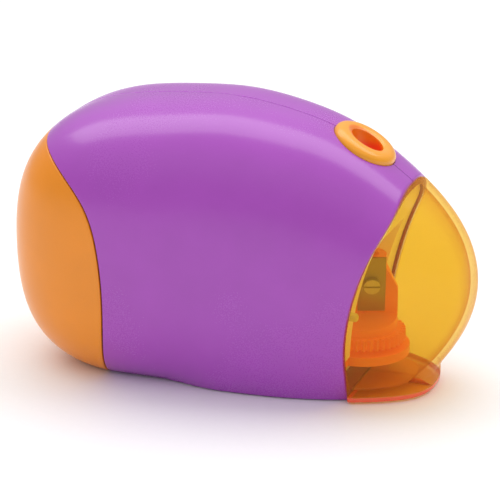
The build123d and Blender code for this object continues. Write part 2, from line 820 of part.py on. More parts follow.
with BuildPart() as motor_can:
    with BuildSketch(Plane.XY.offset(shelf_top)):
        add(motor_section(motor_radius))
    extrude(amount=can_length)
    with BuildSketch(Plane.XY.offset(shelf_top + can_wall)):
        add(motor_section(motor_radius - can_wall))
    extrude(amount=can_length, mode=Mode.SUBTRACT)
    with BuildSketch(Plane.XY.offset(shelf_top - boss_depth)):
        with Locations(motor_place):
            Circle(boss_bore - running_clearance)
    extrude(amount=boss_depth)
    with BuildSketch(Plane.XY):
        with Locations(motor_place):
            Circle(motor_shaft_radius + running_clearance)
    extrude(amount=can_top, mode=Mode.SUBTRACT)
motor_can.part.label = "motor_can"
export_step(motor_can.part, "parts/motor_can.step")

with BuildPart() as motor_magnets:
    with BuildSketch(Plane.XY.offset(shelf_top + 2 * can_wall)):
        with Locations(motor_place):
            Circle(motor_radius - can_wall)
            Circle(armature_radius + magnet_gap, mode=Mode.SUBTRACT)
            Rectangle(2 * (motor_flat - 2 * can_wall), 4 * motor_radius, mode=Mode.INTERSECT)
            Rectangle(4 * motor_radius, 1.1 * armature_radius, mode=Mode.SUBTRACT)
    extrude(amount=can_length - 4 * can_wall)
motor_magnets.part.label = "motor_magnets"
export_step(motor_magnets.part, "parts/motor_magnets.step")

with BuildPart() as motor_end_bell:
    with BuildSketch(Plane.XY.offset(can_top)):
        add(motor_section(motor_radius))
    extrude(amount=bell_length)
    with BuildSketch(Plane.XY.offset(can_top)):
        add(motor_section(motor_radius - 2 * can_wall))
    extrude(amount=bell_length - 2 * can_wall, mode=Mode.SUBTRACT)
    with BuildSketch(Plane.XY.offset(bell_top)):
        with Locations(motor_place):
            Circle(boss_bore)
    extrude(amount=boss_depth)
    with BuildSketch(Plane.XY.offset(can_top)):
        with Locations(motor_place):
            Circle(motor_shaft_radius + running_clearance)
    extrude(amount=far, mode=Mode.SUBTRACT)
motor_end_bell.part.label = "motor_end_bell"
export_step(motor_end_bell.part, "parts/motor_end_bell.step")

with BuildPart() as motor_shaft:
    with BuildSketch(Plane.XY.offset(low_gear_z - running_clearance)):
        with Locations(motor_place):
            Circle(motor_shaft_radius)
    extrude(amount=bell_top + boss_depth + motor_shaft_radius - low_gear_z)
motor_shaft.part.label = "motor_shaft"
export_step(motor_shaft.part, "parts/motor_shaft.step")

with BuildPart() as motor_armature:
    with BuildSketch(Plane.XY.offset(shelf_top + 3 * can_wall)):
        with Locations(motor_place):
            Circle(armature_radius)
            Circle(motor_shaft_radius, mode=Mode.SUBTRACT)
            with PolarLocations(armature_radius, 3):
                Rectangle(armature_radius, 1.2, mode=Mode.SUBTRACT)
    extrude(amount=can_length - 6 * can_wall)
motor_armature.part.label = "motor_armature"
export_step(motor_armature.part, "parts/motor_armature.step")

terminal_spread = 5.5
with BuildPart() as motor_terminals:
    with BuildSketch(Plane.XY.offset(bell_top)):
        with Locations((motor_x - terminal_spread, motor_y), (motor_x + terminal_spread, motor_y)):
            Rectangle(0.5, 2.4)
    extrude(amount=3.2)
motor_terminals.part.label = "motor_terminals"
export_step(motor_terminals.part, "parts/motor_terminals.step")

# ---------------------------------------------------------------- switches
lever_half_width = 2.5
lever_tip_x = 31.0
lever_tail_x = 17.4
lever_thickness = 1.2
with BuildPart() as start_lever:
    with BuildSketch(Plane.XZ):
        with Locations(((lever_tip_x + lever_tail_x) / 2, pivot_z)):
            RectangleRounded(lever_tip_x - lever_tail_x, lever_thickness, lever_thickness / 2.1)
        with Locations((pivot_x, pivot_z)):
            Circle(pivot_radius + 0.9)
            Circle(pivot_radius + running_clearance, mode=Mode.SUBTRACT)
    extrude(amount=lever_half_width, both=True)
start_lever.part.label = "start_lever"
export_step(start_lever.part, "parts/start_lever.step")

with BuildPart() as lever_pin:
    with BuildSketch(Plane.XZ):
        with Locations((pivot_x, pivot_z)):
            Circle(pivot_radius)
    extrude(amount=ear_half_gap + ear_thickness, both=True)
lever_pin.part.label = "lever_pin"
export_step(lever_pin.part, "parts/lever_pin.step")

with BuildPart() as start_switch:
    add(block((switch_x, -switch_width / 2, switch_bottom),
              (switch_x + switch_length, switch_width / 2, bracket_z)))
    fillet(start_switch.edges().filter_by(Axis.Z), 0.6)
    with BuildSketch(Plane.XY.offset(switch_bottom - button_drop)):
        with Locations((lever_tail_x + pivot_radius / 2, 0)):
            Circle(pivot_radius)
    extrude(amount=button_drop)
start_switch.part.label = "start_switch"
export_step(start_switch.part, "parts/start_switch.step")

bin_switch_rear_x = 25.5
bin_switch_half_width = 2.8
bin_switch_half_height = 4.5
plunger_rear_x = 28.0
with BuildPart() as bin_switch:
    add(block((bin_switch_rear_x, switch_rib_y - bin_switch_half_width,
               switch_rib_z - bin_switch_half_height),
              (far, switch_rib_y + bin_switch_half_width, switch_rib_z + bin_switch_half_height)))
    add(side_zone(front_line, -bulkhead_setback - bulkhead_thickness, far), mode=Mode.SUBTRACT)
    with BuildSketch(Plane.YZ.offset(plunger_rear_x - 0.2)):
        with Locations((switch_rib_y, switch_rib_z)):
            Circle(plunger_radius + running_clearance)
    extrude(amount=form_reach, mode=Mode.SUBTRACT)
bin_switch.part.label = "bin_switch"
export_step(bin_switch.part, "parts/bin_switch.step")

with BuildPart() as switch_plunger:
    with BuildSketch(Plane.YZ.offset(plunger_rear_x)):
        with Locations((switch_rib_y, switch_rib_z)):
            Circle(plunger_radius)
    extrude(amount=rib_rear_x - running_clearance - plunger_rear_x)
    chamfer(switch_plunger.faces().sort_by(Axis.X)[-1].edges(), plunger_radius / 3)
switch_plunger.part.label = "switch_plunger"
export_step(switch_plunger.part, "parts/switch_plunger.step")

# ---------------------------------------------------------------- cells, tray, contacts
tray_rear_x = tray_front_x - tray_length
tray_half_width = cell_pitch / 2 + cell_radius + cell_clearance + tray_wall
tray_low_z = low_cell_z - cell_radius - cell_clearance - tray_wall
tray_high_z = cell_rows[1] + cell_radius + cell_clearance + tray_wall
tray_leg_width = 3.0
with BuildPart() as battery_tray:
    with BuildSketch(Plane.YZ.offset(tray_rear_x)):
        with Locations((0, (tray_low_z + tray_high_z) / 2)):
            RectangleRounded(2 * tray_half_width, tray_high_z - tray_low_z, cell_radius)
    extrude(amount=tray_length)
    with BuildSketch(Plane.YZ.offset(tray_rear_x)):
        with Locations(*cell_places):
            Circle(cell_radius + cell_clearance)
    extrude(amount=tray_length - tray_end_wall, mode=Mode.SUBTRACT)
    for side in (-1, 1):
        add(block((tray_rear_x, side * cell_pitch / 2 - tray_leg_width, base_height + floor_wall),
                  (tray_front_x, side * cell_pitch / 2 + tray_leg_width, tray_low_z + tray_wall / 2)))
battery_tray.part.label = "battery_tray"
export_step(battery_tray.part, "parts/battery_tray.step")

nub_radius = 2.7
nub_length = 1.0
spring_seat_x = tray_front_x - tray_end_wall - contact_thickness
for number, (y, z) in enumerate(cell_places):
    nub_ahead = number in (0, 3)
    barrel_rear_x = cells_rear_x if nub_ahead else cells_rear_x + nub_length
    with BuildPart() as cell:
        with BuildSketch(Plane.YZ.offset(barrel_rear_x)):
            with Locations((y, z)):
                Circle(cell_radius)
        extrude(amount=cell_length - nub_length)
        fillet(cell.edges().filter_by(GeomType.CIRCLE), 0.6)
        with BuildSketch(Plane.YZ.offset(cell_front_x - nub_length if nub_ahead else cells_rear_x)):
            with Locations((y, z)):
                Circle(nub_radius)
        extrude(amount=nub_length)
    cell.part.label = f"cell_{number + 1}"
    export_step(cell.part, f"parts/cell_{number + 1}.step")

plate_half = 4.9
with BuildPart() as contact_plates:
    with BuildSketch(Plane.YZ.offset(spring_seat_x)):
        with Locations(*cell_places):
            RectangleRounded(2 * plate_half, 2 * plate_half, 1)
    extrude(amount=contact_thickness)
contact_plates.part.label = "contact_plates"
export_step(contact_plates.part, "parts/contact_plates.step")

spring_wire = 0.35
spring_radius = 4.2
spring_turns = 3.5
spring_taper = 24.0
spring_height = spring_seat_x - cell_front_x - 2 * spring_wire - running_clearance
with BuildPart() as spring:
    with BuildLine() as coil:
        Helix(spring_height / spring_turns, spring_height, spring_radius, cone_angle=-spring_taper)
    with BuildSketch(Plane(origin=coil.line @ 0, z_dir=coil.line % 0)):
        Circle(spring_wire)
    sweep(is_frenet=True)
with BuildPart() as contact_springs:
    for y, z in cell_places:
        place = Plane(origin=(spring_seat_x - spring_wire, y, z), z_dir=(-1, 0, 0)).location
        add(spring.part.moved(place))
contact_springs.part.label = "contact_springs"
export_step(contact_springs.part, "parts/contact_springs.step")
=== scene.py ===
"""Looks of a battery pencil sharpener, built round its packed mechanical model."""

import logging
import math
from dataclasses import dataclass
from enum import Enum
from typing import Any, Callable, Sequence

import bmesh
import bpy
import numpy as np
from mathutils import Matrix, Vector


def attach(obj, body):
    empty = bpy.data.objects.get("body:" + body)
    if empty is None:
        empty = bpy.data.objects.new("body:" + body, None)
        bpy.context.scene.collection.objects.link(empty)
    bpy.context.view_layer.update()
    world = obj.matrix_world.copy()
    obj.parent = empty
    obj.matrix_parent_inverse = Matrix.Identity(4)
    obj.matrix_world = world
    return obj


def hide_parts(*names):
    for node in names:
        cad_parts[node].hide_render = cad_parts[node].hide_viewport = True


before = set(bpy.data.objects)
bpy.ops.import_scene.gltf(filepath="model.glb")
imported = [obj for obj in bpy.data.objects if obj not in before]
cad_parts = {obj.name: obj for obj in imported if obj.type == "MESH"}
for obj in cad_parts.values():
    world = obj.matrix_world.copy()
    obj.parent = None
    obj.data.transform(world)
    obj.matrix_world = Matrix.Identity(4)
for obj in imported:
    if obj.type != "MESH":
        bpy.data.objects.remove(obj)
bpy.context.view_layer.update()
MM = 0.001
LOG = logging.getLogger("sharpener")
MERGE_DISTANCE = 0.004 * MM
CREASE_ANGLE = math.radians(40)
HALVINGS = 40
LEAST_RIM = 0.001


# ------------------------------------------------------------------ shader expressions
class Shade:
    """A shader graph being built: one method makes every node."""

    def __init__(self, owner: bpy.types.Material | bpy.types.World) -> None:
        """Start an empty graph in a material or in the world."""
        owner.use_nodes = True
        self.owner = owner
        self.tree = owner.node_tree
        self.tree.nodes.clear()

    def node(self, kind: str, settings: dict[str, Any] | None = None, **sockets: Any) -> bpy.types.Node:
        """Make one node.

        Args:
            kind: the node's type name without its ShaderNode prefix.
            settings: properties set before the sockets, such as a Math node's operation;
                "stops" fills a colour ramp.
            sockets: values or links for the inputs, by name with _ for spaces; i0, i1 and
                so on name an input by its number.
        Returns:
            The new node.
        """
        made = self.tree.nodes.new("ShaderNode" + kind)
        for key, value in (settings or {}).items():
            if key == "stops":
                ramp = made.color_ramp.elements
                while len(ramp) < len(value):
                    ramp.new(0.5)
                for element, (place, colour) in zip(ramp, value):
                    element.position = place
                    element.color = (*colour, 1)
            else:
                setattr(made, key, value)
        for key, value in sockets.items():
            is_number = key[0] == "i" and key[1:].isdigit()
            self.feed(made.inputs[int(key[1:]) if is_number else key.replace("_", " ")], value)
        return made

    def feed(self, socket: bpy.types.NodeSocket, value: Any) -> None:
        """Link a wrapped or bare socket, or set a plain value, on one input.

        Args:
            socket: the input.
            value: a wrapped value, an output socket, a number, or a colour of three channels.
        """
        if isinstance(value, Value):
            self.tree.links.new(value.socket, socket)
        elif isinstance(value, bpy.types.NodeSocket):
            self.tree.links.new(value, socket)
        elif isinstance(value, (tuple, list)) and socket.type == "RGBA" and len(value) == 3:
            socket.default_value = (*value, 1)
        else:
            socket.default_value = value

    def place(self, scale: float = 1.0) -> "Value":
        """Object coordinates in metres, times a scale."""
        where = self.node("TexCoord").outputs["Object"]
        scaled = self.node("VectorMath", {"operation": "SCALE"}, i0=where, Scale=scale)
        return Value(self, scaled.outputs[0])

    def noise(self, size: float, detail: float = 2.0, roughness: float = 0.5) -> "Value":
        """Noise between 0 and 1.

        Args:
            size: about how far across its blotches are, in metres.
            detail: how many finer octaves it has.
            roughness: how strong the finer octaves are.
        Returns:
            The noise's factor.
        """
        where = self.place(1 / size)
        made = self.node("TexNoise", {}, Vector=where, Scale=1.0, Detail=detail, Roughness=roughness)
        return Value(self, made.outputs[0])

    def blend(self, amount: Any, first: Any, second: Any) -> "Value":
        """A colour between two colours.

        Args:
            amount: 0 for the first and 1 for the second.
            first: a colour or a wrapped one.
            second: a colour or a wrapped one.
        Returns:
            The mixed colour.
        """
        made = self.node("Mix", {"data_type": "RGBA"})
        self.feed(made.inputs[0], amount)
        self.feed(made.inputs[6], first)
        self.feed(made.inputs[7], second)
        return Value(self, made.outputs[2])

    def bump(self, height: "Value", depth: float) -> "Value":
        """A normal bent by a height field of this depth in metres."""
        made = self.node("Bump", {}, Strength=1.0, Distance=depth, Height=height)
        return Value(self, made.outputs[0])

    def principled(self, **sockets: Any) -> bpy.types.NodeSocket:
        """The surface shader with these inputs."""
        return self.node("BsdfPrincipled", {}, **sockets).outputs[0]

    def mix(self, amount: Any, first: Any, second: Any) -> bpy.types.NodeSocket:
        """Two shaders mixed."""
        return self.node("MixShader", {}, i0=amount, i1=first, i2=second).outputs[0]

    def done(self, surface: bpy.types.NodeSocket) -> bpy.types.Material | bpy.types.World:
        """Link the surface to the output.

        Args:
            surface: the last shader of the graph.
        Returns:
            The material or world that the graph belongs to.
        """
        kind = "OutputWorld" if isinstance(self.owner, bpy.types.World) else "OutputMaterial"
        self.node(kind, {}, Surface=surface)
        return self.owner


class Value:
    """A wrapped output socket whose operators add Math nodes."""

    def __init__(self, shade: Shade, socket: bpy.types.NodeSocket) -> None:
        """Wrap one output socket of a shader graph."""
        self.shade = shade
        self.socket = socket

    def _math(self, operation: str, *values: Any) -> "Value":
        """One Math node on these values."""
        sockets = {f"i{index}": value for index, value in enumerate(values)}
        made = self.shade.node("Math", {"operation": operation}, **sockets)
        return Value(self.shade, made.outputs[0])

    def __add__(self, other: Any) -> "Value":
        """Sum."""
        return self._math("ADD", self, other)

    def __mul__(self, other: Any) -> "Value":
        """Product."""
        return self._math("MULTIPLY", self, other)

    def __sub__(self, other: Any) -> "Value":
        """Difference."""
        return self._math("SUBTRACT", self, other)

    def __rsub__(self, other: Any) -> "Value":
        """Reflected difference, so that 1 - mask works."""
        return self._math("SUBTRACT", other, self)

    def __pow__(self, other: Any) -> "Value":
        """Power."""
        return self._math("POWER", self, other)

    __radd__ = __add__
    __rmul__ = __mul__

    def ramp(self, low: float, high: float) -> "Value":
        """0 below low and 1 above high, smooth between them."""
        made = self.shade.node("MapRange", {"interpolation_type": "SMOOTHSTEP"}, i0=self, i1=low, i2=high)
        return Value(self.shade, made.outputs[0])

    def axis(self, name: str) -> "Value":
        """One component of a vector."""
        made = self.shade.node("SeparateXYZ", {}, Vector=self)
        return Value(self.shade, made.outputs[name])


# ------------------------------------------------------------------ finishes
Colour = tuple[float, float, float]
PLASTIC_IOR = 1.5
COAT_ROUGHNESS = 0.12
SPECKLE_SIZE = 0.35 * MM
SPECKLE_DEPTH = 0.012 * MM
CLOUD_SHARE = 0.8
CLOUD_RELIEF = 0.4


def shaded(colour: Colour, share: float) -> Colour:
    """A colour with each channel taken down to this share."""
    return tuple(channel * share for channel in colour)


@dataclass(frozen=True)
class MouldedPlastic:
    """Opaque moulded plastic: faint cloudiness in its colour and a fine skin grain, and for some finishes
    a faint emission that is painted light lifting parts inside the shaded body.
    """

    name: str
    colour: Colour
    roughness: float = 0.3
    coat: float = 0.3
    grain_size: float = SPECKLE_SIZE
    grain_depth: float = SPECKLE_DEPTH
    cloud_size: float = 14 * MM
    cloud: float = 0.07
    # Emission strength: painted light, a glow that brightens parts seen in the body's shaded interior.
    painted_glow: float = 0.0
    cloud_darkening: float = 1.6
    cloud_lift: float = 0.01
    swirl_scale: float = 2.6
    swirl_gloss: float = 0.08
    grain_gloss: float = 0.03

    def material(self) -> bpy.types.Material:
        """The node material of this finish."""
        shade = Shade(bpy.data.materials.new(self.name))
        deep = shaded(self.colour, 1 - self.cloud_darkening * self.cloud)
        lift = self.cloud_lift * self.cloud
        pale = tuple(min(1.0, channel * (1 + self.cloud) + lift) for channel in self.colour)
        clouds = shade.noise(self.cloud_size, 3.0)
        speckle = shade.noise(self.grain_size, 1.0)
        tint = shade.blend(clouds * CLOUD_SHARE + speckle * (1 - CLOUD_SHARE), deep, pale)
        swirl = shade.noise(self.swirl_scale * self.cloud_size, 2.0)
        middle = self.roughness - self.swirl_gloss / 2
        surface = shade.principled(
            Base_Color=tint, Roughness=swirl * self.swirl_gloss + middle + speckle * self.grain_gloss,
            Coat_Weight=self.coat, Coat_Roughness=COAT_ROUGHNESS, IOR=PLASTIC_IOR,
            Normal=shade.bump(speckle + clouds * CLOUD_RELIEF, self.grain_depth),
            # Painted light: the tint glows with this emission strength.
            Emission_Color=tint, Emission_Strength=self.painted_glow)
        return shade.done(surface)


@dataclass(frozen=True)
class ClearPlastic:
    """Clear tinted plastic, deeper in colour where it is seen edge on and in its foot, with a hazy deeper
    orange on its low level floor, partly the tint of the doubled wall and partly painted shade of the
    shadowed floor.
    """

    name: str
    through: Colour
    edge: Colour
    skin: Colour
    haze: float = 0.10
    foot: Colour = (0.98, 0.12, 0.07)
    foot_top: float = 2.4 * MM
    foot_haze: float = 0.72
    # Floor tint: partly the doubled wall's deeper colour, partly painted shade of the floor in the
    # object's shadow.
    floor: Colour = (1.0, 0.34, 0.10)
    floor_top: float = 3.0 * MM
    floor_haze: float = 0.42
    facing_blend: float = 0.35
    edge_on: tuple[float, float] = (0.35, 0.75)
    edge_haze: float = 0.4
    level_on: tuple[float, float] = (0.55, 0.95)
    foot_fade: float = 0.6 * MM
    floor_fade: float = 0.4 * MM
    streak_size: float = 9 * MM
    streak_shade: float = 0.9
    streak_gloss: float = 0.05
    speck_size: float = 0.5 * MM
    ripple_depth: float = 0.02 * MM
    roughness: float = 0.06
    coat: float = 0.3

    def material(self) -> bpy.types.Material:
        """The node material of this finish."""
        shade = Shade(bpy.data.materials.new(self.name))
        facing = Value(shade, shade.node("LayerWeight", {}, Blend=self.facing_blend).outputs["Facing"])
        clear = shade.node("BsdfTransparent", {}, Color=self.through).outputs[0]
        rim_tint = shade.node("BsdfTransparent", {}, Color=self.edge).outputs[0]
        body = shade.mix(facing.ramp(*self.edge_on), clear, rim_tint)
        streaks = shade.noise(self.streak_size, 2.0)
        upward = Value(shade, shade.node("NewGeometry").outputs["Normal"]).axis("Z")
        level = (upward ** 2).ramp(*self.level_on)
        height = shade.place().axis("Z")
        low = (1 - height.ramp(self.foot_top - self.foot_fade, self.foot_top)) * (1 - level)
        # Low level faces get the floor tint: partly the doubled wall's colour, partly painted shade.
        floor = (1 - height.ramp(self.floor_top, self.floor_top + self.floor_fade)) * level
        tint = shade.blend(streaks, self.skin, shaded(self.skin, self.streak_shade))
        speck = shade.noise(self.speck_size, 1.0)
        gloss = shade.principled(
            Base_Color=shade.blend(low, shade.blend(floor, tint, self.floor), self.foot),
            Roughness=streaks * self.streak_gloss + self.roughness, IOR=PLASTIC_IOR, Coat_Weight=self.coat,
            Normal=shade.bump(streaks + speck * 0.1, self.ripple_depth))
        share = facing ** 3 * self.edge_haze + self.haze + low * self.foot_haze + floor * self.floor_haze
        return shade.done(shade.mix(share, body, gloss))


@dataclass(frozen=True)
class ThroatPlastic:
    """Moulded plastic with an upright hole whose wall is painted a deeper red than the rest: painted shade
    of the hole's inside.
    """

    name: str
    colour: Colour
    # Deep red painted into the hole: painted shade and inter-reflection of the recess.
    throat_shade: Colour
    axis_x: float = 33.5 * MM
    radius: float = 4.5 * MM
    throat_top: float = 69.0 * MM
    throat_fade: float = 2.5 * MM
    wall_fade: float = 0.25 * MM
    lip_share: float = 0.45
    cloud_size: float = 9 * MM
    roughness: float = 0.25
    coat: float = 0.35

    def material(self) -> bpy.types.Material:
        """The node material of this finish."""
        shade = Shade(bpy.data.materials.new(self.name))
        where = shade.place()
        reach = ((where.axis("X") - self.axis_x) ** 2 + where.axis("Y") ** 2) ** 0.5
        # Painted shade: the hole's wall takes the deep red fully below its top and partly up to its lip.
        deep = 1 - where.axis("Z").ramp(self.throat_top - self.throat_fade, self.throat_top)
        within = 1 - reach.ramp(self.radius, self.radius + self.wall_fade)
        inside = within * (deep * (1 - self.lip_share) + self.lip_share)
        clouds = shade.noise(self.cloud_size, 3.0)
        speckle = shade.noise(SPECKLE_SIZE, 1.0)
        mottle = clouds * CLOUD_SHARE + speckle * (1 - CLOUD_SHARE)
        skin = shade.blend(mottle, shaded(self.colour, 0.9), self.colour)
        surface = shade.principled(
            Base_Color=shade.blend(inside, skin, self.throat_shade), Roughness=clouds * 0.08 + self.roughness,
            Coat_Weight=self.coat, Coat_Roughness=COAT_ROUGHNESS, IOR=PLASTIC_IOR,
            Normal=shade.bump(speckle + clouds * CLOUD_RELIEF, SPECKLE_DEPTH))
        return shade.done(surface)


@dataclass(frozen=True)
class Metal:
    """Bare or plated metal with fine lines along one axis."""

    name: str
    colour: Colour
    roughness: float = 0.28
    line_axis: str = "X"
    line_size: float = 0.12 * MM
    line_depth: float = 0.006 * MM
    line_gloss: float = 0.12
    dull_size: float = 3 * MM
    dull_shade: float = 0.86
    dull_gloss: float = 0.08

    def material(self) -> bpy.types.Material:
        """The node material of this finish."""
        shade = Shade(bpy.data.materials.new(self.name))
        across = shade.place(1 / self.line_size).axis(self.line_axis)
        drawn = shade.node("TexNoise", {"noise_dimensions": "1D"}, W=across, Scale=1.0, Detail=2.0)
        lines = Value(shade, drawn.outputs[0])
        dull = shade.noise(self.dull_size, 3.0)
        tint = shade.blend(dull, shaded(self.colour, self.dull_shade), self.colour)
        shine = lines * self.line_gloss + (self.roughness - 0.05) + dull * self.dull_gloss
        surface = shade.principled(
            Base_Color=tint, Metallic=1.0, Roughness=shine, Normal=shade.bump(lines, self.line_depth))
        return shade.done(surface)


@dataclass(frozen=True)
class Sleeve:
    """Plain two-colour shrink sleeve of a cell, with a band near one end."""

    name: str
    colour: Colour
    band: Colour
    band_start: float = -22 * MM
    band_fade: float = 0.2 * MM
    wear_size: float = 4 * MM
    wear_gloss: float = 0.12
    wear_depth: float = 0.02 * MM
    roughness: float = 0.24
    coat: float = 0.5

    def material(self) -> bpy.types.Material:
        """The node material of this finish."""
        shade = Shade(bpy.data.materials.new(self.name))
        along = shade.place().axis("X")
        mask = along.ramp(self.band_start - self.band_fade, self.band_start)
        wear = shade.noise(self.wear_size, 3.0)
        tint = shade.blend(mask, self.colour, self.band)
        surface = shade.principled(
            Base_Color=tint, Roughness=wear * self.wear_gloss + self.roughness, Coat_Weight=self.coat,
            Coat_Roughness=0.1, Normal=shade.bump(wear, self.wear_depth))
        return shade.done(surface)


class Finish(Enum):
    """The finishes of the object's pieces."""

    PURPLE = MouldedPlastic("purple_shell", (0.40, 0.062, 0.50), 0.25, 0.25)
    ORANGE = MouldedPlastic("orange_cap", (0.88, 0.27, 0.0), 0.30, 0.15)
    # The guide's second colour is painted shade inside its hole.
    GUIDE = ThroatPlastic("orange_guide", (0.96, 0.37, 0.0), (0.95, 0.07, 0.014))
    CLEAR = ClearPlastic("clear_orange", (0.96, 0.855, 0.44), (0.87, 0.62, 0.25), (0.90, 0.44, 0.07))
    # The rotor and bulkhead finishes glow faintly: painted light for the shaded inside of the body.
    ROTOR = MouldedPlastic("orange_plastic", (0.97, 0.24, 0.10), 0.34, 0.2, painted_glow=0.14)
    PALE = MouldedPlastic("pale_plastic", (0.96, 0.93, 0.80), 0.45, 0.0, painted_glow=0.12)
    GEAR = MouldedPlastic("gear_plastic", (0.87, 0.85, 0.78), 0.4, 0.0, cloud=0.04)
    BLACK = MouldedPlastic("tray_plastic", (0.03, 0.03, 0.034), 0.42, 0.0, cloud=0.2)
    STEEL = Metal("bright_steel", (0.66, 0.66, 0.65), 0.26)
    BLADE = Metal("blade_steel", (0.42, 0.38, 0.33), 0.3, "Z")
    PLATED = Metal("plated_steel", (0.78, 0.77, 0.74), 0.18, "Z")
    CAN = Metal("motor_steel", (0.56, 0.57, 0.58), 0.34, "Z")
    MAGNET = MouldedPlastic("magnet", (0.06, 0.06, 0.062), 0.7, 0.0, 0.2 * MM, 0.03 * MM)
    WINDINGS = Metal("copper_windings", (0.72, 0.33, 0.15), 0.35, "Z", 0.3 * MM, 0.04 * MM)
    BRONZE = Metal("bush_brass", (0.80, 0.57, 0.24), 0.32, "Z")
    RUBBER = MouldedPlastic("foot_rubber", (0.025, 0.025, 0.025), 0.75, 0.0, 0.3 * MM, 0.03 * MM)
    CELL = Sleeve("cell_wrap", (0.03, 0.035, 0.05), (0.55, 0.56, 0.58))


NODE_FINISHES: dict[Finish, tuple[str, ...]] = {
    Finish.ORANGE: ("battery_cap",),
    Finish.GUIDE: ("pencil_guide",),
    Finish.PURPLE: ("right_shell", "left_shell"),
    Finish.CLEAR: ("shavings_bin",),
    Finish.ROTOR: ("cutter_head", "cutter_gear", "gear_deck"),
    Finish.PALE: ("bulkhead", "gear_cover"),
    Finish.GEAR: ("idler_gear", "idler_pinion", "start_lever", "switch_plunger"),
    Finish.BLACK: ("motor_end_bell", "start_switch", "bin_switch", "battery_tray"),
    Finish.STEEL: ("shell_screws", "frame_screws", "lever_pin", "motor_shaft", "idler_shaft",
                   "blade_screw", "cutter_spindle", "spindle_clip"),
    Finish.BLADE: ("cutter_blade",),
    Finish.PLATED: ("contact_plates", "contact_springs", "cap_contacts"),
    Finish.CAN: ("motor_can",),
    Finish.MAGNET: ("motor_magnets",),
    Finish.WINDINGS: ("motor_armature",),
    Finish.BRONZE: ("spindle_bush", "motor_terminals", "motor_pinion"),
    Finish.RUBBER: ("rubber_feet",),
    Finish.CELL: ("cell_1", "cell_2", "cell_3", "cell_4"),
}


class Wardrobe:
    """Makes each finish's material once and hands it out."""

    def __init__(self) -> None:
        """Start with nothing made."""
        self.made: dict[Finish, bpy.types.Material] = {}

    def of(self, finish: Finish) -> bpy.types.Material:
        """The material of one finish."""
        if finish not in self.made:
            self.made[finish] = finish.value.material()
        return self.made[finish]

    def dress(self, piece: bpy.types.Object, finish: Finish) -> None:
        """Give a new piece one finish."""
        piece.data.materials.clear()
        piece.data.materials.append(self.of(finish))

    def dress_nodes(self) -> None:
        """Give every carried node its finish through its object's slots."""
        for finish, names in NODE_FINISHES.items():
            for name in names:
                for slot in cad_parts[name].material_slots:
                    slot.link = "OBJECT"
                    slot.material = self.of(finish)


# ------------------------------------------------------------------ meshes
def surface_mesh(name: str, points: np.ndarray, round_rows: bool = False,
                 round_columns: bool = False) -> bpy.types.Object:
    """A quad surface through a grid of points.

    Args:
        name: the piece's name.
        points: rows by columns by 3, in metres.
        round_rows: join the last row to the first.
        round_columns: join the last column to the first.
    Returns:
        The new object, with doubles merged and every face turned outwards.
    """
    rows, columns, _ = points.shape
    index = np.arange(rows * columns).reshape(rows, columns)
    if round_rows:
        index = np.vstack([index, index[:1]])
    if round_columns:
        index = np.hstack([index, index[:, :1]])
    quads = np.stack([index[:-1, :-1], index[:-1, 1:], index[1:, 1:], index[1:, :-1]], -1).reshape(-1, 4)
    mesh = bpy.data.meshes.new(name)
    mesh.from_pydata(points.reshape(-1, 3), [], quads)
    piece = bpy.data.objects.new(name, mesh)
    bpy.context.scene.collection.objects.link(piece)
    shape = bmesh.new()
    shape.from_mesh(mesh)
    bmesh.ops.remove_doubles(shape, verts=shape.verts, dist=MERGE_DISTANCE)
    bmesh.ops.recalc_face_normals(shape, faces=shape.faces)
    shape.to_mesh(mesh)
    shape.free()
    mesh.polygons.foreach_set("use_smooth", [True] * len(mesh.polygons))
    return piece


def closed_shell(name: str, outer: np.ndarray, inner: np.ndarray) -> bpy.types.Object:
    """A closed wall between two grids of points.

    Args:
        name: the piece's name.
        outer: rows by columns by 3 of the outer skin, its last columns rounding its rims.
        inner: the same number of rows and columns of the inner skin.
    Returns:
        The piece: the skins joined along both end columns and along both end rows.
    """
    wall = np.concatenate([outer, inner[:, ::-1]], 1)
    lids = [np.concatenate([inner[row], inner[row, ::-1]])[None] for row in (0, -1)]
    return surface_mesh(name, np.concatenate([lids[0], wall, lids[1]]), round_columns=True)


def cut_away(piece: bpy.types.Object, cutters: Sequence[bpy.types.Object]) -> None:
    """Take closed solids away from a piece, and delete them.

    Args:
        piece: the piece, whose mesh is replaced.
        cutters: the solids.
    """
    for cutter in cutters:
        cut = piece.modifiers.new("cut", "BOOLEAN")
        cut.operation = "DIFFERENCE"
        cut.solver = "EXACT"
        cut.object = cutter
    mesh = bpy.data.meshes.new_from_object(piece.evaluated_get(bpy.context.evaluated_depsgraph_get()))
    piece.modifiers.clear()
    piece.data = mesh
    for cutter in cutters:
        bpy.data.objects.remove(cutter)
    shape = bmesh.new()
    shape.from_mesh(mesh)
    for edge in shape.edges:
        edge.smooth = not edge.is_manifold or edge.calc_face_angle(0) < CREASE_ANGLE
    shape.to_mesh(mesh)
    shape.free()


def rod(name: str, start: Vector, end: Vector, radius: float, sides: int = 96) -> bpy.types.Object:
    """A closed cylinder, used to cut holes: circles about the axis, each end drawn in to a point.

    Args:
        name: the cylinder's name.
        start: one end of its axis.
        end: the other end.
        radius: its radius.
        sides: how many faces go round it.
    Returns:
        The cylinder.
    """
    axis = (end - start).normalized()
    across = axis.orthogonal().normalized()
    other = axis.cross(across)
    turn = np.linspace(0, 2 * np.pi, sides, endpoint=False)
    ring = np.outer(np.cos(turn), across) + np.outer(np.sin(turn), other)
    poles = [np.tile(point, (sides, 1)) for point in (start, end)]
    rows = [poles[0], ring * radius + start, ring * radius + end, poles[1]]
    return surface_mesh(name, np.stack(rows), round_columns=True)


